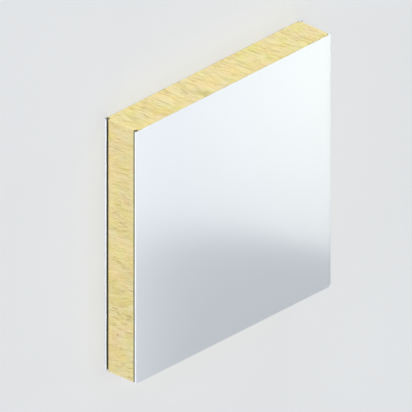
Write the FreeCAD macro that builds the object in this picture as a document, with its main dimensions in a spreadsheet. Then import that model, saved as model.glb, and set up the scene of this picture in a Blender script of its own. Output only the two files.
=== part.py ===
"""Insulated sandwich wall panel: two roll-formed steel facings glued to a mineral-wool core.

The piece lies flat: X runs across the cover width from the female edge to the male edge, Y along
the panel between its two cut ends, Z through the thickness with the front facing uppermost.
The origin is in the middle of the outline, on the back facing's outer surface.
"""
import FreeCAD
import Part
import Sketcher
import math
import os
from FreeCAD import Placement, Rotation, Vector

doc = FreeCAD.newDocument("sandwich_panel")

# ---------------------------------------------------------------- sizes, in millimetres
SIZES = {
    "panel_thickness": 150.0,  # outer face to outer face
    "panel_run": 1000.0,       # cut end to cut end
    "cover_width": 1000.0,     # what one panel covers in the wall
    "sheet_gauge": 0.6,        # facing steel
    "hem_depth": 7.2,          # rounded open hem of the female edge, through the thickness
    "hem_return": 5.5,         # end of the short folded-back leg, from the edge
    "face_gap": 3.0,           # shadow gap between two neighbouring faces
    "lip_clearance": 0.8,      # neighbour's hem to lip, through the thickness
    "lip_reach": 12.0,         # end of the male lip past the cover width
    "crown_radius": 2.4,       # outside radius where the face turns in at the male edge
    "root_radius": 1.8,        # inside radius where that web turns out into the lip
    "core_recess": 5.0,        # wool side behind the edge of the hem
    "core_gap": 1.5,           # wool to wool across a closed joint
    "slot_floor": 14.0,        # floor of the rebate behind a hem, from the outer face
    "slot_spare": 2.0,         # end of the rebate past a seated lip
}
sheet = doc.addObject("Spreadsheet::Sheet", "Sizes")
for row, (alias, value) in enumerate(SIZES.items(), start=1):
    sheet.set(f"A{row}", alias)
    sheet.set(f"B{row}", str(value))
    sheet.setAlias(f"B{row}", alias)
doc.recompute()

# Fits between the pieces: each formula once for the document, once as a number to draw with
HEM_RADIUS = "Sizes.hem_depth / 2"
FACE_END = "Sizes.cover_width - Sizes.face_gap"
LIP_SETBACK = "(Sizes.hem_depth + Sizes.lip_clearance)"
LIP_END = "Sizes.cover_width + Sizes.lip_reach"
CORE_END = "Sizes.cover_width + Sizes.core_recess - Sizes.core_gap"
SLOT_END = "Sizes.lip_reach + Sizes.slot_spare"
HALF = "Sizes.panel_thickness / 2"

gauge = SIZES["sheet_gauge"]
crown = SIZES["crown_radius"]
root = SIZES["root_radius"]
hem = SIZES["hem_depth"] / 2
face_end = SIZES["cover_width"] - SIZES["face_gap"]
setback = SIZES["hem_depth"] + SIZES["lip_clearance"]
lip_end = SIZES["cover_width"] + SIZES["lip_reach"]
core_end = SIZES["cover_width"] + SIZES["core_recess"] - SIZES["core_gap"]
slot_end = SIZES["lip_reach"] + SIZES["slot_spare"]
half = SIZES["panel_thickness"] / 2

START, END, CENTRE = 1, 2, 3   # a sketch element's points
ORIGIN = (-1, 1)               # the sketch's own origin
AXIS = -1                      # its horizontal axis


# ---------------------------------------------------------------- drawing helpers
def line(sketch, x1, z1, x2, z2):
    return sketch.addGeometry(Part.LineSegment(Vector(x1, z1, 0), Vector(x2, z2, 0)))


def arc(sketch, x, z, radius, first, last):
    """Circular arc, counter-clockwise between two angles in degrees."""
    circle = Part.Circle(Vector(x, z, 0), Vector(0, 0, 1), radius)
    return sketch.addGeometry(Part.ArcOfCircle(circle, math.radians(first), math.radians(last)))


def join(sketch, kind, pairs):
    """Coincident or Tangent joints between element ends."""
    for pair in pairs:
        sketch.addConstraint(Sketcher.Constraint(kind, *pair))


def square_up(sketch, level, upright):
    for index in level:
        sketch.addConstraint(Sketcher.Constraint("Horizontal", index))
    for index in upright:
        sketch.addConstraint(Sketcher.Constraint("Vertical", index))


def size(sketch, name, kind, place, number, formula):
    """A named dimension bound to the sizes: from the origin to a point, or a radius."""
    where = place if kind == "Radius" else ORIGIN + place
    index = sketch.addConstraint(Sketcher.Constraint(kind, *where, number))
    sketch.renameConstraint(index, name)
    sketch.setExpression("Constraints." + name, formula)


def new_body(name, draw):
    """A body padded along Y, evenly to both cut ends, from one cross-section on its XZ plane."""
    body = doc.addObject("PartDesign::Body", name)
    body.Label = name
    plane = next(f for f in body.Origin.OriginFeatures if f.Role == "XZ_Plane")
    sketch = body.newObject("Sketcher::SketchObject", name + "_section")
    sketch.AttachmentSupport = (plane, [""])
    sketch.MapMode = "FlatFace"
    draw(sketch)
    pad = body.newObject("PartDesign::Pad", name + "_run")
    pad.Profile = sketch
    pad.Midplane = True
    pad.Length = SIZES["panel_run"]
    pad.setExpression("Length", "Sizes.panel_run")
    body.Tip = pad
    return body


def centre_in_x(body):
    body.setExpression(".Placement.Base.x", f"-({LIP_END}) / 2")


# ---------------------------------------------------------------- the two facings
def draw_facing(sketch):
    """One roll-formed sheet, outer face on Z = 0: open hem, flat face, web and lip."""
    x0, x1, z1 = face_end - crown, face_end + root, setback - root
    hem_out = arc(sketch, hem, hem, hem, 90, 270)
    face_out = line(sketch, hem, 0, x0, 0)
    crown_out = arc(sketch, x0, crown, crown, 270, 360)
    web_out = line(sketch, face_end, crown, face_end, z1)
    root_out = arc(sketch, x1, z1, root, 90, 180)
    lip_out = line(sketch, x1, setback, lip_end, setback)
    lip_edge = line(sketch, lip_end, setback, lip_end, setback + gauge)
    lip_in = line(sketch, lip_end, setback + gauge, x1, setback + gauge)
    root_in = arc(sketch, x1, z1, root + gauge, 90, 180)
    web_in = line(sketch, face_end - gauge, z1, face_end - gauge, crown)
    crown_in = arc(sketch, x0, crown, crown - gauge, 270, 360)
    face_in = line(sketch, x0, gauge, hem, gauge)
    hem_in = arc(sketch, hem, hem, hem - gauge, 90, 270)
    leg_in = line(sketch, hem, 2 * hem - gauge, SIZES["hem_return"], 2 * hem - gauge)
    leg_edge = line(sketch, SIZES["hem_return"], 2 * hem - gauge, SIZES["hem_return"], 2 * hem)
    leg_out = line(sketch, SIZES["hem_return"], 2 * hem, hem, 2 * hem)

    square_up(sketch, (face_out, lip_out, lip_in, face_in, leg_in, leg_out),
              (web_out, lip_edge, web_in, leg_edge))
    join(sketch, "Tangent", [
        (hem_out, END, face_out, START), (face_out, END, crown_out, START),
        (crown_out, END, web_out, START), (web_out, END, root_out, END),
        (root_out, START, lip_out, START), (lip_in, END, root_in, START),
        (root_in, END, web_in, START), (web_in, END, crown_in, END),
        (crown_in, START, face_in, START), (face_in, END, hem_in, END),
        (hem_in, START, leg_in, START), (leg_out, END, hem_out, START)])
    join(sketch, "Coincident", [
        (lip_out, END, lip_edge, START), (lip_edge, END, lip_in, START),
        (leg_in, END, leg_edge, START), (leg_edge, END, leg_out, START),
        (hem_out, CENTRE, hem_in, CENTRE), (crown_out, CENTRE, crown_in, CENTRE),
        (root_out, CENTRE, root_in, CENTRE)])
    sketch.addConstraint(Sketcher.Constraint("PointOnObject", face_out, START, AXIS))

    size(sketch, "hem_radius", "Radius", (hem_out,), hem, HEM_RADIUS)
    size(sketch, "hem_inside", "Radius", (hem_in,), hem - gauge, HEM_RADIUS + " - Sizes.sheet_gauge")
    size(sketch, "hem_centre", "DistanceX", (hem_out, CENTRE), hem, HEM_RADIUS)
    size(sketch, "hem_leg", "DistanceX", (leg_edge, START), SIZES["hem_return"], "Sizes.hem_return")
    size(sketch, "crown", "Radius", (crown_out,), crown, "Sizes.crown_radius")
    size(sketch, "root", "Radius", (root_out,), root, "Sizes.root_radius")
    size(sketch, "face_end", "DistanceX", (web_out, START), face_end, FACE_END)
    size(sketch, "lip_setback", "DistanceY", (lip_out, START), setback, LIP_SETBACK)
    size(sketch, "lip_end", "DistanceX", (lip_edge, START), lip_end, LIP_END)


back_sheet = new_body("back_sheet", draw_facing)
centre_in_x(back_sheet)

# The front facing is the same sheet turned over, so that both hems are on the female edge
front_sheet = new_body("front_sheet", draw_facing)
front_sheet.Placement = Placement(Vector(0, 0, 2 * half), Rotation(Vector(1, 0, 0), 180))
front_sheet.setExpression(".Placement.Base.z", "Sizes.panel_thickness")
centre_in_x(front_sheet)


# ---------------------------------------------------------------- the core
def draw_core(sketch):
    """Upper half of the wool: rebate behind the hem, step and bends under the web and lip."""
    x0, x1, top = face_end - crown, face_end + root, half - gauge
    web = face_end - gauge
    shoulder = half - setback - gauge
    floor = half - SIZES["slot_floor"]
    recess = SIZES["core_recess"]
    middle = line(sketch, recess, 0, core_end, 0)
    male_side = line(sketch, core_end, 0, core_end, shoulder)
    step = line(sketch, core_end, shoulder, x1, shoulder)
    root_bend = arc(sketch, x1, half - setback + root, root + gauge, 180, 270)
    web_side = line(sketch, web, half - setback + root, web, half - crown)
    crown_bend = arc(sketch, x0, half - crown, crown - gauge, 0, 90)
    glue_face = line(sketch, x0, top, slot_end, top)
    slot_side = line(sketch, slot_end, top, slot_end, floor)
    slot_base = line(sketch, slot_end, floor, recess, floor)
    female_side = line(sketch, recess, floor, recess, 0)

    square_up(sketch, (middle, step, glue_face, slot_base),
              (male_side, web_side, slot_side, female_side))
    join(sketch, "Coincident", [
        (middle, END, male_side, START), (male_side, END, step, START),
        (glue_face, END, slot_side, START), (slot_side, END, slot_base, START),
        (slot_base, END, female_side, START), (female_side, END, middle, START)])
    join(sketch, "Tangent", [
        (step, END, root_bend, END), (root_bend, START, web_side, START),
        (web_side, END, crown_bend, START), (crown_bend, END, glue_face, START)])
    sketch.addConstraint(Sketcher.Constraint("PointOnObject", middle, START, AXIS))

    size(sketch, "recess", "DistanceX", (middle, START), recess, "Sizes.core_recess")
    size(sketch, "core_end", "DistanceX", (middle, END), core_end, CORE_END)
    size(sketch, "shoulder", "DistanceY", (step, START), shoulder,
         f"{HALF} - {LIP_SETBACK} - Sizes.sheet_gauge")
    size(sketch, "root_bend", "Radius", (root_bend,), root + gauge,
         "Sizes.root_radius + Sizes.sheet_gauge")
    size(sketch, "crown_bend", "Radius", (crown_bend,), crown - gauge,
         "Sizes.crown_radius - Sizes.sheet_gauge")
    size(sketch, "web_side", "DistanceX", (web_side, START), web,
         f"{FACE_END} - Sizes.sheet_gauge")
    size(sketch, "glue_face", "DistanceY", (glue_face, START), top, f"{HALF} - Sizes.sheet_gauge")
    size(sketch, "slot_side", "DistanceX", (slot_side, START), slot_end, SLOT_END)
    size(sketch, "slot_base", "DistanceY", (slot_base, START), floor, f"{HALF} - Sizes.slot_floor")


wool_core = new_body("wool_core", draw_core)
mid_plane = next(f for f in wool_core.Origin.OriginFeatures if f.Role == "XY_Plane")
mirror = wool_core.newObject("PartDesign::Mirrored", "wool_core_other_half")
mirror.Originals = [wool_core.Tip]
mirror.MirrorPlane = (mid_plane, [""])
mirror.Refine = True
wool_core.Tip = mirror
wool_core.Placement = Placement(Vector(0, 0, half), Rotation())
wool_core.setExpression(".Placement.Base.z", HALF)
centre_in_x(wool_core)

# ---------------------------------------------------------------- checks and export
doc.recompute()
for item in doc.Objects:
    if "Invalid" in item.State or "Error" in item.State:
        raise RuntimeError(f"{item.Name} did not recompute: {item.State}")

os.makedirs("parts", exist_ok=True)
for piece in (front_sheet, back_sheet, wool_core):
    if piece.Shape.isNull() or not piece.Shape.isValid() or len(piece.Shape.Solids) != 1:
        raise RuntimeError(f"{piece.Label} is not one valid solid")
    box = piece.Shape.BoundBox
    print(f"{piece.Label}: {box.XLength:.2f} x {box.YLength:.2f} x {box.ZLength:.2f} mm,",
          f"{piece.Shape.Volume / 1e6:.4f} litres")
for piece in (front_sheet, back_sheet, wool_core):
    piece.Shape.exportStep(f"parts/{piece.Label}.step")
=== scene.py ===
# %% [markdown]
# An insulated sandwich panel lies on a pale floor: two thin white steel sheets with a thick board
# of mineral wool glued between them. The solids come from the CAD model, so this lesson only
# dresses them: it paints the steel, cuts and frays the wool, and lights the whole like a product
# picture. Everything is in metres, in the model's own frame: X across the panel, Y along it, Z
# through it.

# %% Load the frame
import math

import bpy
import numpy as np
from mathutils import Matrix, Vector


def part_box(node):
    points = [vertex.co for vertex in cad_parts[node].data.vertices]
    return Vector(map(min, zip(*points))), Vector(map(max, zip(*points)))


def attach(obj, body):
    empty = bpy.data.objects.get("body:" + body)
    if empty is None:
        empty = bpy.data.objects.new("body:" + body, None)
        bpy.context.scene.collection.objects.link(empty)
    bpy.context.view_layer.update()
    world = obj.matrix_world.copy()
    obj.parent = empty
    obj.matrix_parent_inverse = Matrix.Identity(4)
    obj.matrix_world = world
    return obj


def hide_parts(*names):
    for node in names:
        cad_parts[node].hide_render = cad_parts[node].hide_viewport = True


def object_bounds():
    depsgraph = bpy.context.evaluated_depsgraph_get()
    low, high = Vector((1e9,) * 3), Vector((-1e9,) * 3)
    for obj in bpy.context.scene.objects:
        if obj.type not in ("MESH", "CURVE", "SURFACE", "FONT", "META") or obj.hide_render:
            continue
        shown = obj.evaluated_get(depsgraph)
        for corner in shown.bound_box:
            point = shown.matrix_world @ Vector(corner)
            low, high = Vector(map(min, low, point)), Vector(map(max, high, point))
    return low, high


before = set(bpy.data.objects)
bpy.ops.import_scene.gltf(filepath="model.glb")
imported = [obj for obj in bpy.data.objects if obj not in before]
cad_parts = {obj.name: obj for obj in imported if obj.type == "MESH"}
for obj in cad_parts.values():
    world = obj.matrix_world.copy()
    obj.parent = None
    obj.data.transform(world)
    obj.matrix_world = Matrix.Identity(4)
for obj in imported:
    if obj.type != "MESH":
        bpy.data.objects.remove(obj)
cad_low, cad_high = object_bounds()
scene = bpy.context.scene
scene.view_settings.view_transform = "Standard"
front_low, front_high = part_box("front_sheet")
wool_low, wool_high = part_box("wool_core")
print("panel box:", [round(v, 4) for v in cad_high - cad_low])
print("wool box:", [round(v, 4) for v in wool_high - wool_low])

# %% [markdown]
# The camera is orthographic, as in a catalogue drawing, so parallel edges stay parallel. It looks
# down on the front facing from beyond the female edge and the far cut end, and it is rolled so
# that the far cut end is uppermost. Its axes are written down directly: a vector towards the
# camera, and the picture's right. One corner of the front facing fixes where the picture's middle
# lies, to the right of that corner and below it by a share of the view's width.

# %% Camera
TOWARDS_CAMERA = Vector((-0.6465, 0.4689, 0.6019)).normalized()
PICTURE_RIGHT = Vector((0.6814, 0.0, 0.7319)).normalized()
PICTURE_UP = TOWARDS_CAMERA.cross(PICTURE_RIGHT).normalized()
VIEW_WIDTH = 1.4451
MIDDLE_RIGHT, MIDDLE_DOWN = 0.17083, 0.17864
CAMERA_DISTANCE = 5

corner = Vector((cad_low.x, cad_high.y, cad_high.z))
middle = corner + VIEW_WIDTH * (MIDDLE_RIGHT * PICTURE_RIGHT - MIDDLE_DOWN * PICTURE_UP)
camera_data = bpy.data.cameras.new("catalogue_camera")
camera_data.type = "ORTHO"
camera_data.ortho_scale = VIEW_WIDTH
camera = bpy.data.objects.new("catalogue_camera", camera_data)
scene.collection.objects.link(camera)
turn = Matrix((PICTURE_RIGHT, PICTURE_UP, TOWARDS_CAMERA)).transposed().to_4x4()
camera.matrix_world = Matrix.Translation(middle + CAMERA_DISTANCE * TOWARDS_CAMERA) @ turn
scene.camera = camera
print("camera looks down at", round(math.degrees(math.asin(TOWARDS_CAMERA.z)), 1), "degrees")

# %% [markdown]
# Every piece below is a mesh with a material. Blender asks for a few lines for each, so two
# helpers hold them, and the later cells stay about the panel. A number or colour that is the same
# all over a surface is set straight on the shader's own socket, where an export finds it.

# %% Objects and materials
def new_object(name, mesh, material=None):
    """Link a mesh into the scene as an object, with its material."""
    piece = bpy.data.objects.new(name, mesh)
    scene.collection.objects.link(piece)
    if material is not None:
        mesh.materials.append(material)
    return piece


def new_material(name, roughness, **sockets):
    """A node material, with constants set straight on the Principled BSDF's own sockets."""
    material = bpy.data.materials.new(name)
    material.use_nodes = True
    shader = material.node_tree.nodes["Principled BSDF"]
    shader.inputs["Roughness"].default_value = roughness
    for socket, value in sockets.items():
        shader.inputs[socket.replace("_", " ")].default_value = value
    return material, material.node_tree, shader


print("helpers:", new_object.__name__, new_material.__name__)

# %% [markdown]
# A look that changes over a surface is worked out by small nodes wired in a row. Each helper adds
# one kind of node and gives back its output, so that wiring reads like a formula. The last one
# tells a ray that looks at a thing from a ray that only carries light, for pale backgrounds that
# don't also work as lamps.

# %% Node helpers
def math_node(tree, operation, first, second=0.5):
    """A Math node fed by sockets or plain numbers; gives back its output."""
    node = tree.nodes.new("ShaderNodeMath")
    node.operation = operation
    for slot, value in zip(node.inputs, (first, second)):
        if isinstance(value, (int, float)):
            slot.default_value = value
        else:
            tree.links.new(value, slot)
    return node.outputs[0]


def mix_colour(tree, factor, first, second, blend="MIX"):
    """Mix two colours, given as sockets or as plain values; gives back the colour."""
    node = tree.nodes.new("ShaderNodeMix")
    node.data_type, node.blend_type = "RGBA", blend
    for name, value in (("A", first), ("B", second)):
        slot = [i for i in node.inputs if i.name == name and i.type == "RGBA"][0]
        if isinstance(value, tuple):
            slot.default_value = value
        else:
            tree.links.new(value, slot)
    if isinstance(factor, (int, float)):
        node.inputs[0].default_value = factor
    else:
        tree.links.new(factor, node.inputs[0])
    return [o for o in node.outputs if o.type == "RGBA"][0]


def is_seen(tree):
    """1 for rays from the camera, straight or by way of gloss or glass, and 0 for light's own."""
    rays = tree.nodes.new("ShaderNodeLightPath").outputs
    gloss = math_node(tree, "MAXIMUM", rays["Is Glossy Ray"], rays["Is Transmission Ray"])
    return math_node(tree, "MAXIMUM", rays["Is Camera Ray"], gloss)


print("helpers:", math_node.__name__, mix_colour.__name__, is_seen.__name__)

# %% [markdown]
# The panel rests on a plain pale floor, a single large quad just under the back facing. It is no
# part of the panel. Where the floor is seen, directly or in the gloss,
# most of its tone is its own glow, so it stays even from every side, and the rest is ordinary
# paint that takes the panel's soft shadow. For the light it throws back it is plain pale paint.

# %% Floor
PALE_BACKGROUND = (0.77, 0.785, 0.80, 1)
FLOOR_BOUNCE, FLOOR_SEEN = (0.70, 0.71, 0.73, 1), (0.45, 0.46, 0.47, 1)
FLOOR_GLOW = 0.62
FLOOR_REACH, FLOOR_DROP = 3.5, -0.0004

floor_paint, tree, floor_shader = new_material("pale_floor", roughness=0.8, Specular_IOR_Level=0.0)
floor_shader.inputs["Emission Color"].default_value = PALE_BACKGROUND
seen = is_seen(tree)
floor_tone = mix_colour(tree, seen, FLOOR_BOUNCE, FLOOR_SEEN)
floor_glow = math_node(tree, "MULTIPLY", seen, FLOOR_GLOW)
tree.links.new(floor_tone, floor_shader.inputs["Base Color"])
tree.links.new(floor_glow, floor_shader.inputs["Emission Strength"])
floor_mesh = bpy.data.meshes.new("floor")
floor_corners = [(x * FLOOR_REACH, y * FLOOR_REACH, FLOOR_DROP)
                 for x, y in ((-1, -1), (1, -1), (1, 1), (-1, 1))]
floor_mesh.from_pydata(floor_corners, [], [(0, 1, 2, 3)])
floor = new_object("floor", floor_mesh, floor_paint)
print("floor", 2 * FLOOR_REACH, "m wide")

# %% [markdown]
# An even grey sky fills the shadows. Where the sky itself is seen, past the floor or in the gloss,
# it has the floor's own pale tone, so there is no horizon. The world is the simplest lamp there
# is, and it costs no geometry.

# %% Sky
SKY_TONE, SKY_STRENGTH = (0.97, 0.985, 1.0, 1), 0.22

sky = bpy.data.worlds.new("studio_sky")
scene.world = sky
sky.use_nodes = True
links, nodes = sky.node_tree.links, sky.node_tree.nodes
fill = nodes["Background"]
fill.inputs["Color"].default_value = SKY_TONE
fill.inputs["Strength"].default_value = SKY_STRENGTH
backdrop = nodes.new("ShaderNodeBackground")
backdrop.inputs["Color"].default_value = PALE_BACKGROUND
choose = nodes.new("ShaderNodeMixShader")
links.new(is_seen(sky.node_tree), choose.inputs[0])
links.new(fill.outputs[0], choose.inputs[1])
links.new(backdrop.outputs[0], choose.inputs[2])
links.new(choose.outputs[0], nodes["World Output"].inputs["Surface"])
print("sky:", sky.name, "at strength", SKY_STRENGTH)

# %% [markdown]
# Four large soft boxes stand far out, one beyond each side of the panel, and low, because the wool
# shows on the sides. A fifth hangs over the face. Large lamps give soft shadows, and none of them
# shows in the gloss, which gets its own cards further on.

# %% Soft boxes
LOW_BOX, LOW_HEIGHT, LOW_SPREAD = (5.8, 1.35), 1.0, 110
LOW_AIM = 0.06
LOW_BOXES = (("far_end_box", (0.2, 8.0), 150), ("female_box", (-8.0, 1.5), 150),
             ("near_end_box", (0.0, -8.0), 100), ("male_box", (8.0, 0.0), 100))
TOP_BOX, TOP_PLACE, TOP_WATTS = (2.4, 2.4), (0.2, -0.2, 3.0), 25


def soft_box(name, place, aim, size, watts, spread=180):
    """A rectangular area lamp at place, facing aim; spread is its beam in degrees."""
    lamp = bpy.data.lights.new(name, "AREA")
    lamp.shape, lamp.size, lamp.size_y = "RECTANGLE", size[0], size[1]
    lamp.energy = watts
    lamp.spread = math.radians(spread)
    holder = bpy.data.objects.new(name, lamp)
    holder.location = place
    holder.rotation_euler = (Vector(aim) - Vector(place)).to_track_quat("-Z", "Y").to_euler()
    holder.visible_camera = holder.visible_glossy = False
    scene.collection.objects.link(holder)


for name, (x, y), watts in LOW_BOXES:
    aim = (LOW_AIM * x, LOW_AIM * y, cad_high.z / 2)
    soft_box(name, (x, y, LOW_HEIGHT), aim, LOW_BOX, watts, LOW_SPREAD)
soft_box("top_box", TOP_PLACE, (0.0, 0.0, cad_high.z), TOP_BOX, TOP_WATTS)

# %% [markdown]
# Gloss shows what it mirrors, and a white coil coating shows it softly. So the long gradient of a
# sheet beside a window is made as what it is: light that hangs where the steel mirrors it to the
# camera. Painting the gradient on the steel would be quicker, but it would stay put when the panel
# turns. A card is a mesh whose points carry their light. Only glossy rays see it, and it fades
# into the pale background by its borders.

# %% Glowing cards
BACKGROUND_LIGHT = np.array(PALE_BACKGROUND[:3])

card_paint = bpy.data.materials.new("card_light")
card_paint.use_nodes = True
links, nodes = card_paint.node_tree.links, card_paint.node_tree.nodes
nodes.clear()
glow = nodes.new("ShaderNodeAttribute")
glow.attribute_name = "glow"
emission = nodes.new("ShaderNodeEmission")
card_end = nodes.new("ShaderNodeOutputMaterial")
links.new(glow.outputs["Color"], emission.inputs["Color"])
links.new(emission.outputs[0], card_end.inputs["Surface"])


def mirrored(normal):
    """The direction that a surface with this normal mirrors to the camera."""
    return 2 * normal.dot(TOWARDS_CAMERA) * normal - TOWARDS_CAMERA


def smooth(value):
    """0 below 0, 1 above 1, and an S-curve between."""
    value = np.clip(value, 0, 1)
    return value * value * (3 - 2 * value)


def soft_border(count, share):
    """A window of count values: 0 at both ends, up to 1 over a share of the way in."""
    return smooth(np.minimum(np.linspace(0, 1, count), np.linspace(1, 0, count)) / share)


def hang_card(name, row_window, column_window, points, light):
    """A glowing sheet that only glossy rays see; its windows fade its light to the background."""
    rows, columns = len(row_window), len(column_window)
    firsts = [r * columns + c for r in range(rows - 1) for c in range(columns - 1)]
    faces = [(a, a + 1, a + 1 + columns, a + columns) for a in firsts]
    mesh = bpy.data.meshes.new(name)
    mesh.from_pydata(points, [], faces)
    window = np.outer(row_window, column_window).reshape(-1, 1)
    light = BACKGROUND_LIGHT + window * (light - BACKGROUND_LIGHT)
    light = np.column_stack([light, np.ones(len(light))])
    mesh.attributes.new("glow", "FLOAT_COLOR", "POINT").data.foreach_set("color", light.ravel())
    card = new_object(name, mesh, card_paint)
    card.visible_camera = card.visible_diffuse = card.visible_shadow = False
    card.visible_transmission = card.visible_volume_scatter = False
    return card


facing_mirrors = mirrored(Vector((0, 0, 1)))
print("the facing mirrors the direction", [round(v, 3) for v in facing_mirrors])

# %% [markdown]
# The first card hangs parallel to the front facing. Its light falls from bright to grey across a
# soft slanting line, wide on the female side and narrow on the male side, and a narrow band along
# the female side glows more. Places on the card are counted in panel widths from the far female
# corner: across to the male side, and down to the near end. The card reaches past the panel by a
# margin, in which it fades.

# %% Reflection card
CARD_DISTANCE = 6.0
CARD_STEPS, CARD_MARGIN, CARD_FADE = 120, 0.4, 0.75
CARD_COOL, CARD_WARM = np.array((0.97, 0.98, 1.02)), np.array((0.97, 1.01, 0.90))
EDGE_REACH, BRIGHT_EDGE, GREY_EDGE = 0.12, 0.82, 1.45
BRIGHT, BRIGHT_RISE, BRIGHT_FALL, FALL_BEND = 3.0, 1.7, 2.32, 1.3
GREY, GREY_FALL = 0.5, 0.31
LINE, LINE_SLOPE, LINE_CURVE = 0.447, 0.207, 0.216
BLUR, BLUR_NARROWS = 0.281, 0.231


def card_light_at(across, down):
    """Light at places on the card, both in panel widths from the far female corner."""
    inside = np.clip(across, 0, 1)
    edge = np.exp(-inside / EDGE_REACH)
    fall = np.clip(down, 0, 1) ** FALL_BEND
    bright = BRIGHT + BRIGHT_RISE * inside - BRIGHT_FALL * fall + BRIGHT_EDGE * edge
    grey = GREY + GREY_EDGE * edge - GREY_FALL * down
    line = LINE + LINE_SLOPE * inside + LINE_CURVE * inside ** 2
    blur = BLUR - BLUR_NARROWS * inside
    light = bright + (grey - bright) * smooth((down - line) / blur + 0.5)
    return light[:, None] * (CARD_COOL + (CARD_WARM - CARD_COOL) * inside[:, None])


panel_run, face_width = front_high.y - front_low.y, front_high.x - front_low.x
steps = np.linspace(-CARD_MARGIN, 1 + CARD_MARGIN, CARD_STEPS)
across, down = [grid.ravel() for grid in np.meshgrid(steps, steps)]
card_points = np.column_stack([front_low.x + across * face_width, front_high.y - down * panel_run,
                               np.full(across.size, cad_high.z)])
card_window = soft_border(CARD_STEPS, CARD_FADE * CARD_MARGIN / (1 + 2 * CARD_MARGIN))
card = hang_card("reflection_card", card_window, card_window, card_points.tolist(),
                 card_light_at(across, down))
card.location = CARD_DISTANCE * facing_mirrors
print("card hangs", round(card.location.z, 2), "m above the facing")

# %% [markdown]
# The rounded hems mirror an arc of the room above the female side. A second curved strip follows
# that arc, brighter towards the far end, so each hem carries one long highlight that fades. Its
# angles are those of the hem's own surface, in degrees from flat.

# %% Hem card
HEM_CARD_DISTANCE, HEM_CARD_STEPS = 3.0, 24
HEM_CARD_ANGLES, HEM_CARD_REACH = (6, 68), 0.95
HEM_CARD_BORDERS = (0.3, 0.25)
HEM_TONE, HEM_LIGHT, HEM_RISE = (1.02, 1.01, 0.96), 4.3, 2.4

hem_points, hem_light = [], []
for angle in np.radians(np.linspace(*HEM_CARD_ANGLES, HEM_CARD_STEPS)):
    direction = mirrored(Vector((-math.sin(angle), 0, math.cos(angle))))
    for place in np.linspace(-HEM_CARD_REACH, HEM_CARD_REACH, HEM_CARD_STEPS):
        hem_points.append(Vector((cad_low.x, place, cad_high.z)) + HEM_CARD_DISTANCE * direction)
        hem_light.append([(HEM_LIGHT + HEM_RISE * place) * share for share in HEM_TONE])
hem_windows = [soft_border(HEM_CARD_STEPS, share) for share in HEM_CARD_BORDERS]
hang_card("hem_card", *hem_windows, hem_points, np.array(hem_light))
print("hem card:", len(hem_points), "points")

# %% [markdown]
# An effect that several materials share is built once, as a node group, and placed in each of them
# with its own values. These helpers make such a group, and the noises and vectors that it is wired
# from.

# %% Group helpers
def new_group(name, inputs, outputs):
    """A shader node group with named float, vector or colour sockets."""
    group = bpy.data.node_groups.new(name, "ShaderNodeTree")
    kinds = {"float": "NodeSocketFloat", "vector": "NodeSocketVector"}
    for socket, (kind, value) in inputs.items():
        made = group.interface.new_socket(socket, in_out="INPUT", socket_type=kinds[kind])
        if value is not None:
            made.default_value = value
    for socket, kind in outputs.items():
        group.interface.new_socket(socket, in_out="OUTPUT", socket_type=kinds[kind])
    return group, group.nodes.new("NodeGroupInput"), group.nodes.new("NodeGroupOutput")


def noise_node(tree, place, scale, detail=2.0, roughness=0.5):
    """A 3-D noise at a place, scaled; gives back the node."""
    node = tree.nodes.new("ShaderNodeTexNoise")
    node.inputs["Scale"].default_value = scale
    node.inputs["Detail"].default_value = detail
    node.inputs["Roughness"].default_value = roughness
    tree.links.new(place, node.inputs["Vector"])
    return node


def vector_node(tree, operation, *values):
    """A Vector Math node fed by sockets or plain vectors; gives back its vector."""
    node = tree.nodes.new("ShaderNodeVectorMath")
    node.operation = operation
    for slot, value in zip(node.inputs, values):
        if isinstance(value, tuple):
            slot.default_value = value
        else:
            tree.links.new(value, slot)
    return node.outputs[0]


def split_vector(tree, vector):
    """Separate a vector; gives back its X, Y and Z sockets."""
    node = tree.nodes.new("ShaderNodeSeparateXYZ")
    tree.links.new(vector, node.inputs[0])
    return node.outputs["X"], node.outputs["Y"], node.outputs["Z"]


def stretched(tree, place, width, length):
    """Divide a place by the streak's width across, and by its length along Z."""
    size = tree.nodes.new("ShaderNodeCombineXYZ")
    for axis, value in zip("XYZ", (width, width, length)):
        tree.links.new(value, size.inputs[axis])
    return vector_node(tree, "DIVIDE", place, size.outputs[0])


print("helpers:", new_group.__name__, noise_node.__name__, vector_node.__name__)

# %% [markdown]
# Mineral wool is made of fibres, and a saw cut shows them as fine streaks. In this panel they run
# through the thickness, a little tilted and wavy. The streaks, the soft clumps and the colour
# patches all come from one node group, so the board and its loose fibres agree. Noise is stretched
# along Z, and a slower noise bends it first, so that no streak is quite straight. All the wool
# shares one slight lean, in X and in Y for each unit of Z.

# %% Fibre field node group
FIBRE_LEAN = (0.05, 0.19)
SWAY_SCALE, SWAY_GAIN = 14.0, 4.0
STREAK_SCALE, CLUMP_TO_STREAK = 0.7, 5.0
BATCH_SCALE = 17.0

fibre_field, given, result = new_group(
    "FibreField",
    {"Place": ("vector", None), "Streak Width": ("float", 0.004), "Streak Length": ("float", 0.06),
     "Sway": ("float", 0.010)},
    {"Streaks": "float", "Clumps": "float", "Warmth": "float", "Depth": "float"})
place, width, length, sway = [given.outputs[socket] for socket in
                              ("Place", "Streak Width", "Streak Length", "Sway")]
slow = noise_node(fibre_field, place, SWAY_SCALE, detail=1.0)
centred = vector_node(fibre_field, "SUBTRACT", slow.outputs["Color"], (0.5, 0.5, 0.5))
height = split_vector(fibre_field, place)[2]
unlean = (-FIBRE_LEAN[0], -FIBRE_LEAN[1], 0.0)
upright = vector_node(fibre_field, "MULTIPLY_ADD", height, unlean, place)
sway_amount = math_node(fibre_field, "MULTIPLY", sway, SWAY_GAIN)
swayed = vector_node(fibre_field, "MULTIPLY_ADD", centred, sway_amount, upright)
clump_width = math_node(fibre_field, "MULTIPLY", width, CLUMP_TO_STREAK)
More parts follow.
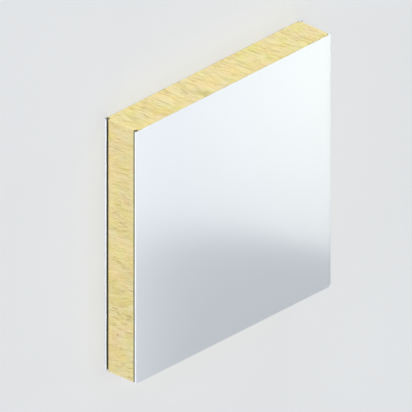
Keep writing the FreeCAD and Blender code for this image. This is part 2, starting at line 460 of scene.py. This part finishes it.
fine_place = stretched(fibre_field, swayed, width, length)
clump_place = stretched(fibre_field, swayed, clump_width, length)
fine = noise_node(fibre_field, fine_place, STREAK_SCALE, detail=6.0, roughness=0.65)
clumps = noise_node(fibre_field, clump_place, STREAK_SCALE)
batches = noise_node(fibre_field, place, BATCH_SCALE, detail=1.5)
hues = fibre_field.nodes.new("ShaderNodeSeparateColor")
fibre_field.links.new(batches.outputs["Color"], hues.inputs[0])
for socket, output in (("Streaks", fine.outputs["Fac"]), ("Clumps", clumps.outputs["Fac"]),
                       ("Warmth", hues.outputs[0]), ("Depth", hues.outputs[1])):
    fibre_field.links.new(output, result.inputs[socket])
print("group", fibre_field.name, "with", len(fibre_field.nodes), "nodes")

# %% [markdown]
# Both wool materials are matt and pale straw yellow. Streaks, clumps and fine hairs make it
# lighter and darker, patches lean it towards a warmer or a greener yellow, and each loose fibre
# carries its own small tint. The board also has a bump from the hairs, finer than its mesh can
# show, and its slots behind the hems are painted darker, as painted shade for the deep grooves.

# %% Wool materials
STRAW_PALE, STRAW_DEEP = (0.93, 0.845, 0.53, 1), (0.71, 0.585, 0.22, 1)
GREENER, WARMER = (0.965, 1.008, 0.99, 1), (1.03, 0.978, 0.99, 1)
PALER, YELLOWER = (1.0, 1.0, 1.14, 1), (1.0, 1.0, 0.86, 1)
# Painted shade: a dark straw colour for the wool in the slots behind the hems.
STRAW_PAINTED_SHADE = (0.24, 0.21, 0.11, 1)
STREAK_WIDTH, STREAK_LENGTH = 0.0018, 0.07
HAIR_WIDTH, HAIR_LENGTH, HAIR_RELIEF = 0.0012, 0.005, 0.0006
STREAK_SHARE, CLUMP_SHARE, HAIR_SHARE = 0.38, 0.27, 0.35
SOFT_BAND, SHARP_BAND = (0.3, 0.7), (0.34, 0.66)


def spread(tree, value, band):
    """Stretch the part of a noise inside a band over 0 to 1; a narrow band gives more contrast."""
    node = tree.nodes.new("ShaderNodeMapRange")
    node.inputs["From Min"].default_value, node.inputs["From Max"].default_value = band
    tree.links.new(value, node.inputs["Value"])
    return node.outputs["Result"]


def fibre_node(tree, place, width, length):
    """One FibreField in a material, with its own streak size."""
    field = tree.nodes.new("ShaderNodeGroup")
    field.node_tree = fibre_field
    field.inputs["Streak Width"].default_value = width
    field.inputs["Streak Length"].default_value = length
    tree.links.new(place, field.inputs["Place"])
    return field.outputs


def attribute_node(tree, name):
    """A value that the mesh carries at its points."""
    node = tree.nodes.new("ShaderNodeAttribute")
    node.attribute_name = name
    return node.outputs["Fac"]


def weighted(tree, *parts):
    """Add up pairs of a socket and its share."""
    total = 0.0
    for value, share in parts:
        total = math_node(tree, "ADD", math_node(tree, "MULTIPLY", value, share), total)
    return total


def wool_material(name, bump, tint_share):
    """Mineral wool: streaked straw yellow, matt, with a fibrous bump."""
    material, tree, shader = new_material(name, roughness=0.95, Specular_IOR_Level=0.2)
    place = tree.nodes.new("ShaderNodeTexCoord").outputs["Object"]
    field = fibre_node(tree, place, STREAK_WIDTH, STREAK_LENGTH)
    hair = fibre_node(tree, place, HAIR_WIDTH, HAIR_LENGTH)
    hairs = spread(tree, hair["Streaks"], SOFT_BAND)
    pale = weighted(tree,
                    (spread(tree, field["Streaks"], SHARP_BAND), STREAK_SHARE - tint_share / 2),
                    (spread(tree, field["Clumps"], SOFT_BAND), CLUMP_SHARE - tint_share / 2),
                    (hairs, HAIR_SHARE), (attribute_node(tree, "tint"), tint_share))
    straw = mix_colour(tree, pale, STRAW_DEEP, STRAW_PALE)
    for mask, first, second in (("Warmth", GREENER, WARMER), ("Depth", PALER, YELLOWER)):
        tint = mix_colour(tree, spread(tree, field[mask], SOFT_BAND), first, second)
        straw = mix_colour(tree, 1.0, straw, tint, "MULTIPLY")
    # Painted shade: where the board's points mark it, the slots behind the hems take the dark
    # colour.
    straw = mix_colour(tree, attribute_node(tree, "painted_slot_shade"), straw, STRAW_PAINTED_SHADE)
    tree.links.new(straw, shader.inputs["Base Color"])
    relief = tree.nodes.new("ShaderNodeBump")
    relief.inputs["Strength"].default_value = bump
    relief.inputs["Distance"].default_value = HAIR_RELIEF
    tree.links.new(hairs, relief.inputs["Height"])
    tree.links.new(relief.outputs[0], shader.inputs["Normal"])
    return material


cut_wool = wool_material("cut_mineral_wool", bump=0.6, tint_share=0.0)
loose_wool = wool_material("loose_mineral_wool", bump=0.2, tint_share=0.4)
print("wool materials:", cut_wool.name, loose_wool.name)

# %% [markdown]
# The board of wool is one block with four sawn sides. Its section has a rebate at each corner: a
# deep slot behind each hem on the female side, and a shallow step under each lip on the male side.
# Their sizes are read from the corners of the CAD solid, so the new board fits it exactly.

# %% Wool section
NEAR = 1e-5

wool_corners = np.array([v.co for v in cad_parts["wool_core"].data.vertices])
lower_half = wool_corners[wool_corners[:, 2] < (wool_low.z + wool_high.z) / 2]
bottom = lower_half[lower_half[:, 2] < wool_low.z + NEAR]
slot_x, step_x = bottom[:, 0].min(), bottom[:, 0].max()
slot_depth = lower_half[lower_half[:, 0] < slot_x + NEAR][:, 2].max() - wool_low.z
step_depth = lower_half[lower_half[:, 0] > step_x - NEAR][:, 2].max() - wool_low.z
print("slot", round(1000 * (slot_x - wool_low.x), 2), "x", round(1000 * slot_depth, 2), "mm;",
      "step", round(1000 * (wool_high.x - step_x), 2), "x", round(1000 * step_depth, 2), "mm")

# %% [markdown]
# The four sides are one band of small quads that runs round the board, about 1.7 mm wide and 5 mm
# high, which is fine enough to carry the streaks as real relief. Each row of the band knows how
# far the wool reaches at its height, and three close rows make the ledge of each rebate. One more
# row lies just past each slot, where its painted shade ends.

# %% Rows of the band
COLUMNS = 600
ROW_HEIGHT = 0.005
LEDGE = 0.0001
# Painted shade in the slots ends this far past each slot, where an extra row lies.
SLOT_SHADE_MARGIN = 0.0022


def row_heights():
    """Heights of the rows: even steps, with three close rows at each ledge."""
    rise = wool_high.z - wool_low.z
    ledges = [step_depth, slot_depth, rise - slot_depth, rise - step_depth]
    rows = ledges + [slot_depth + SLOT_SHADE_MARGIN, rise - slot_depth - SLOT_SHADE_MARGIN]
    for low, high in zip([0] + ledges, ledges + [rise]):
        start = low + LEDGE * (low > 0)
        stop = high - LEDGE * (high < rise)
        rows.extend(np.linspace(start, stop, max(2, round((high - low) / ROW_HEIGHT) + 1)))
    return wool_low.z + np.array(sorted(rows))


heights = row_heights()
inset = np.minimum(heights - wool_low.z, wool_high.z - heights)
left = np.where(inset < slot_depth - LEDGE / 2, slot_x, wool_low.x)
right = np.where(inset < step_depth - LEDGE / 2, step_x, wool_high.x)
rows, ring = len(heights), 4 * COLUMNS
print("band:", rows, "rows of", ring, "columns")

# %% [markdown]
# The columns go round the board from the far female corner: down the female side, along the near
# end, up the male side and back along the far end. For each one the cell keeps its share of the
# way in X and in Y, and the direction that points out of the wool there. Corner columns point out
# of both of their sides.

# %% Columns of the band
even, none, full = np.arange(COLUMNS) / COLUMNS, np.zeros(COLUMNS), np.ones(COLUMNS)
share_x = np.concatenate([none, even, full, 1 - even])
share_y = np.concatenate([1 - even, none, even, full])
out_x = np.concatenate([-full, none, full, none])
out_y = np.concatenate([none, -full, none, full])
for corner_column in range(0, ring, COLUMNS):
    out_x[corner_column] += out_x[corner_column - 1]
    out_y[corner_column] += out_y[corner_column - 1]
print("corners point out along", list(zip(out_x[::COLUMNS].tolist(), out_y[::COLUMNS].tolist())))

# %% [markdown]
# The relief is cut by the same kind of pattern as the colour: streaks that run through the
# thickness, soft clumps, a slow bend and the shared lean. It is worked out here in Python, because
# a mesh keeps it in every view and export. It only pushes inwards, so the board never grows.

# %% Relief of the sawn sides
NOISE_TABLE = 256
RELIEF = 0.0009
CELLS_PER_SIDE = 256
BEND, BEND_WIDTH, BEND_HEIGHT = 1.6, 16, 0.12
STREAK_DENSITY, STREAK_HEIGHT, STREAK_CUT = 1.3, 0.03, 0.22
CLUMP_CELLS, CLUMP_HEIGHT, CLUMP_CUT = 4, 0.07, 0.18
BEND_SEED, STREAK_SEED, CLUMP_SEED = 11, 12, 13


def soft_noise(seed, across, along):
    """Smooth random values around 0: a table at whole numbers, blended in between."""
    table = np.random.default_rng(seed).standard_normal((NOISE_TABLE, NOISE_TABLE))
    i, j = np.floor(across).astype(int), np.floor(along).astype(int)
    a, b = across - i, along - j
    a, b = a * a * (3 - 2 * a), b * b * (3 - 2 * b)
    corners = [table[(i + p) % NOISE_TABLE, (j + q) % NOISE_TABLE] for p in (0, 1) for q in (0, 1)]
    return ((1 - a) * ((1 - b) * corners[0] + b * corners[1])
            + a * ((1 - b) * corners[2] + b * corners[3]))


along = heights[:, None]
ring_lean = out_x * FIBRE_LEAN[1] - out_y * FIBRE_LEAN[0]
across = (np.arange(ring) / COLUMNS - ring_lean * along) * CELLS_PER_SIDE
bend = BEND * soft_noise(BEND_SEED, across / BEND_WIDTH, along / BEND_HEIGHT)
streaks = soft_noise(STREAK_SEED, STREAK_DENSITY * across + bend, along / STREAK_HEIGHT)
clumps = soft_noise(CLUMP_SEED, across / CLUMP_CELLS + bend, along / CLUMP_HEIGHT)
cut = RELIEF * np.clip(0.5 + STREAK_CUT * streaks + CLUMP_CUT * clumps, 0, 1)
print("cuts are", round(1000 * cut.mean(), 2), "mm deep on average, at most",
      round(1000 * cut.max(), 2), "mm")

# %% [markdown]
# Rows and columns make one mesh, closed by plain caps under the two facings. Its points also say
# where the slots behind the hems get painted shade, a darker colour: the rows of the
# slots, and of those the columns in the first few millimetres of the way across. The board takes
# the place of the CAD block and rides on the panel.

# %% Wool board
REBATE_SHARE = 0.004

board_x = left[:, None] + share_x * (right - left)[:, None] - out_x * cut
board_y = wool_low.y + share_y * (wool_high.y - wool_low.y) - out_y * cut
board_z = np.broadcast_to(heights[:, None], board_x.shape)
board_faces = [(r * ring + c, r * ring + (c + 1) % ring,
                (r + 1) * ring + (c + 1) % ring, (r + 1) * ring + c)
               for r in range(rows - 1) for c in range(ring)]
board_faces.append(tuple(range(ring))[::-1])
board_faces.append(tuple(range((rows - 1) * ring, rows * ring)))
board_points = np.stack([board_x, board_y, board_z], -1).reshape(-1, 3).tolist()
board_mesh = bpy.data.meshes.new("mineral_wool_board")
board_mesh.from_pydata(board_points, [], board_faces)
# Painted shade: the slot rows, in the first few millimetres from the female side, are marked for
# the dark colour.
painted_shade_behind_hem = (inset < slot_depth + 1.5 * LEDGE)[:, None] & (share_x < REBATE_SHARE)[None, :]
board_mesh.attributes.new("painted_slot_shade", "FLOAT", "POINT").data.foreach_set(
    "value", painted_shade_behind_hem.ravel().astype(float))
board = new_object("mineral_wool_board", board_mesh, cut_wool)
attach(board, "root")
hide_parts("wool_core")
print("board:", rows, "rows,", ring, "columns,", len(board_faces), "faces")

# %% [markdown]
# A saw pulls loose fibres and tufts out of the cut. They mostly lie in the surface, with their
# ends tucked in and a few standing proud. Strands belong to tufts, which share a place and a lean,
# and neighbouring tufts lean much the same way. Each strand has its own length, thickness and bow,
# most of them small and a few large. A hair system would do this too, but a plain mesh goes into
# every export.

# %% Paths of the loose fibres
STRANDS, TUFTS, STRAND_POINTS = 2700, 700, 9
STRAND_LENGTH, STRAND_RADIUS = (0.012, 0.06), (0.00008, 0.00026)
TUFT_INSET, STRAND_INSET = 0.004, 0.001
TUFT_HEIGHT, TUFT_WIDTH = 0.008, 0.0016
AREA_LEAN, TUFT_LEAN, STRAND_LEAN = 0.10, 0.12, 0.10
AREA_LENGTH, AREA_HEIGHT = 0.06, 0.1
CURL, CURL_WAVES = 0.0011, 7
TREMBLE, TREMBLE_WAVES = 0.00015, 11
TUCKED, TAPER, TIP = 0.0006, 0.6, 0.05
BOW_LEAST, BOW_SCALE, BOW_POWER, BOW_MOST = 0.0002, 0.0004, 1.7, 0.004


def strand_paths(rng, seed, lean, span, low, high):
    """Place along the side, height, stand off the cut and radius, for each point of each strand."""
    length = rng.uniform(*STRAND_LENGTH, STRANDS)
    tuft_z = rng.uniform(low, high, TUFTS)
    tuft_s = rng.uniform(TUFT_INSET, span - TUFT_INSET, TUFTS)
    area_lean = AREA_LEAN * soft_noise(seed + 1, tuft_s / AREA_LENGTH, tuft_z / AREA_HEIGHT)
    tuft_lean = area_lean + rng.normal(0, TUFT_LEAN, TUFTS)
    tuft = rng.integers(0, TUFTS, STRANDS)
    middle_z = (tuft_z[tuft] + rng.normal(0, TUFT_HEIGHT, STRANDS))[:, None]
    middle_s = (tuft_s[tuft] + rng.normal(0, TUFT_WIDTH, STRANDS))[:, None]
    lean = (tuft_lean[tuft] + rng.normal(0, STRAND_LEAN, STRANDS) + lean)[:, None]
    curl = rng.normal(0, CURL, STRANDS)[:, None]
    phase = rng.uniform(0, 2 * math.pi, STRANDS)[:, None]
    radius = rng.uniform(*STRAND_RADIUS, STRANDS)[:, None]
    bow = BOW_LEAST + BOW_SCALE * rng.exponential(1.0, STRANDS) ** BOW_POWER
    t = np.linspace(-0.5, 0.5, STRAND_POINTS)[None, :]
    z = np.clip(middle_z + t * length[:, None], low, high)
    s = middle_s + (z - middle_z) * lean + curl * np.sin(CURL_WAVES * t + phase)
    s = np.clip(s, STRAND_INSET, span - STRAND_INSET)
    lift = (-TUCKED + np.minimum(bow, BOW_MOST)[:, None] * np.cos(math.pi * t)
            + TREMBLE * np.sin(TREMBLE_WAVES * t + 2 * phase))
    thick = radius * (np.cos(math.pi * t) ** TAPER + TIP)
    return s, z, lift, thick


print("each side gets", STRANDS, "strands in", TUFTS, "tufts")

# %% [markdown]
# Along its path a strand is a thin three-sided tube with closed ends, the fewest faces that still
# look round at this size. All strands of a side are joined into one mesh, and every strand keeps
# one random tint on its points.

# %% Strands as meshes
TUBE_ANGLES = (0.0, 2 * math.pi / 3, 4 * math.pi / 3)


def strand_faces():
    """Faces of all the strands of one side, three points to a ring."""
    faces = []
    for strand in range(STRANDS):
        first = strand * STRAND_POINTS * 3
        for k in range(STRAND_POINTS - 1):
            a = first + 3 * k
            faces.extend([(a, a + 1, a + 4, a + 3), (a + 1, a + 2, a + 5, a + 4),
                          (a + 2, a, a + 3, a + 5)])
        last = first + 3 * (STRAND_POINTS - 1)
        faces.extend([(first + 2, first + 1, first), (last, last + 1, last + 2)])
    return faces


def loose_fibres(name, seed, start, direction, outward, span, margin):
    """Strands on one sawn side: span metres from start, a margin away from both facings."""
    rng = np.random.default_rng(seed)
    s, z, lift, thick = strand_paths(rng, seed, np.dot(direction[:2], FIBRE_LEAN), span,
                                     wool_low.z + margin, wool_high.z - margin)
    along, out = np.array(direction), np.array(outward)
    points = []
    for turn_angle in TUBE_ANGLES:
        side = s + thick * math.sin(turn_angle)
        proud = lift + thick * math.cos(turn_angle)
        flat = np.array(start) + side[..., None] * along + proud[..., None] * out
        points.append(flat + z[..., None] * np.array((0, 0, 1)))
    mesh = bpy.data.meshes.new(name)
    mesh.from_pydata(np.stack(points, 2).reshape(-1, 3).tolist(), [], strand_faces())
    tint = np.repeat(rng.uniform(0, 1, STRANDS), STRAND_POINTS * 3)
    mesh.attributes.new("tint", "FLOAT", "POINT").data.foreach_set("value", tint)
    mesh.shade_smooth()
    fibres = new_object(name, mesh, loose_wool)
    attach(fibres, "root")
    return fibres


print("a strand is", STRAND_POINTS, "rings of", len(TUBE_ANGLES), "points")

# %% [markdown]
# Each of the four sawn sides gets its own mesh, with its own seed. On the ends the strands stay
# between the slots and the steps in X, and on the long sides they stay clear of them in Z.

# %% Loose fibres
RIM = 0.0012

wide, run = step_x - slot_x, wool_high.y - wool_low.y
for name, seed, start, direction, outward, span, depth in (
        ("fibres_far_end", 31, (slot_x, wool_high.y, 0), (1, 0, 0), (0, 1, 0), wide, 0.0),
        ("fibres_near_end", 32, (slot_x, wool_low.y, 0), (1, 0, 0), (0, -1, 0), wide, 0.0),
        ("fibres_female_side", 33, (wool_low.x, wool_low.y, 0), (0, 1, 0), (-1, 0, 0), run,
         slot_depth),
        ("fibres_male_side", 34, (wool_high.x, wool_low.y, 0), (0, 1, 0), (1, 0, 0), run,
         step_depth)):
    fibres = loose_fibres(name, seed, start, direction, outward, span, depth + RIM)
    print(name, len(fibres.data.polygons), "faces")

# %% [markdown]
# The facings are coil-coated steel: a cool white, slightly glossy paint over zinc. One group finds
# the places where the paint ends, from the place and the direction of the surface. The sheared cut
# ends show bare zinc, and the side that faces the wool has only a thin grey backing coat.

# %% Coating masks node group
END_ON, INWARD = 0.8, -0.5

coating_masks, given, result = new_group(
    "CoatingMasks",
    {"Place": ("vector", None), "Normal": ("vector", None), "Middle Height": ("float", 0.075)},
    {"Cut Edge": "float", "Backing": "float"})
place_x, _, place_z = split_vector(coating_masks, given.outputs["Place"])
_, normal_y, normal_z = split_vector(coating_masks, given.outputs["Normal"])
end_on = math_node(coating_masks, "ABSOLUTE", normal_y)
sheared = math_node(coating_masks, "GREATER_THAN", end_on, END_ON)
height = math_node(coating_masks, "SUBTRACT", place_z, given.outputs["Middle Height"])
facing = math_node(coating_masks, "MULTIPLY", math_node(coating_masks, "SIGN", height), normal_z)
inward = math_node(coating_masks, "LESS_THAN", facing, INWARD)
male_half = math_node(coating_masks, "GREATER_THAN", place_x, 0.0)
backing = math_node(coating_masks, "MULTIPLY", inward, male_half)
coating_masks.links.new(sheared, result.inputs["Cut Edge"])
coating_masks.links.new(backing, result.inputs["Backing"])
print("group", coating_masks.name, "with", len(coating_masks.nodes), "nodes")

# %% [markdown]
# White coil coating is a paint baked on the strip before it is rolled to shape. It is cool in
# tone, all but even, and has a soft gloss, which here is a coat over a rougher base. A faint
# mottle keeps the large face from looking like plastic, and a very fine bump gives it the
# orange-peel skin of paint. The facings keep their exact solids, so only their material changes.

# %% Coil-coated steel
COOL_WHITE, COOL_WHITE_DULL = (0.80, 0.85, 0.92, 1), (0.78, 0.83, 0.905, 1)
BACKING_GREY, BARE_ZINC = (0.46, 0.46, 0.43, 1), (0.55, 0.56, 0.58, 1)
MOTTLE_SCALE, SKIN_SCALE = 9.0, 700.0
SKIN_STRENGTH, SKIN_RELIEF = 0.04, 0.0002

coating, tree, coating_shader = new_material(
    "white_coil_coating", roughness=0.35, Specular_IOR_Level=0.25, Coat_Weight=1.0,
    Coat_Roughness=0.08, Coat_IOR=1.8)
place = tree.nodes.new("ShaderNodeTexCoord").outputs["Object"]
surface = tree.nodes.new("ShaderNodeNewGeometry")
masks = tree.nodes.new("ShaderNodeGroup")
masks.node_tree = coating_masks
masks.inputs["Middle Height"].default_value = (cad_low.z + cad_high.z) / 2
tree.links.new(place, masks.inputs["Place"])
tree.links.new(surface.outputs["Normal"], masks.inputs["Normal"])
mottle = noise_node(tree, place, MOTTLE_SCALE, detail=3.0)
paint = mix_colour(tree, mottle.outputs["Fac"], COOL_WHITE_DULL, COOL_WHITE)
paint = mix_colour(tree, masks.outputs["Backing"], paint, BACKING_GREY)
paint = mix_colour(tree, masks.outputs["Cut Edge"], paint, BARE_ZINC)
tree.links.new(paint, coating_shader.inputs["Base Color"])
tree.links.new(masks.outputs["Cut Edge"], coating_shader.inputs["Metallic"])
skin = noise_node(tree, place, SKIN_SCALE)
relief = tree.nodes.new("ShaderNodeBump")
relief.inputs["Strength"].default_value = SKIN_STRENGTH
relief.inputs["Distance"].default_value = SKIN_RELIEF
tree.links.new(skin.outputs["Fac"], relief.inputs["Height"])
tree.links.new(relief.outputs[0], coating_shader.inputs["Normal"])
for node in ("front_sheet", "back_sheet"):
    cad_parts[node].material_slots[0].material = coating
    print(node, "is coated")
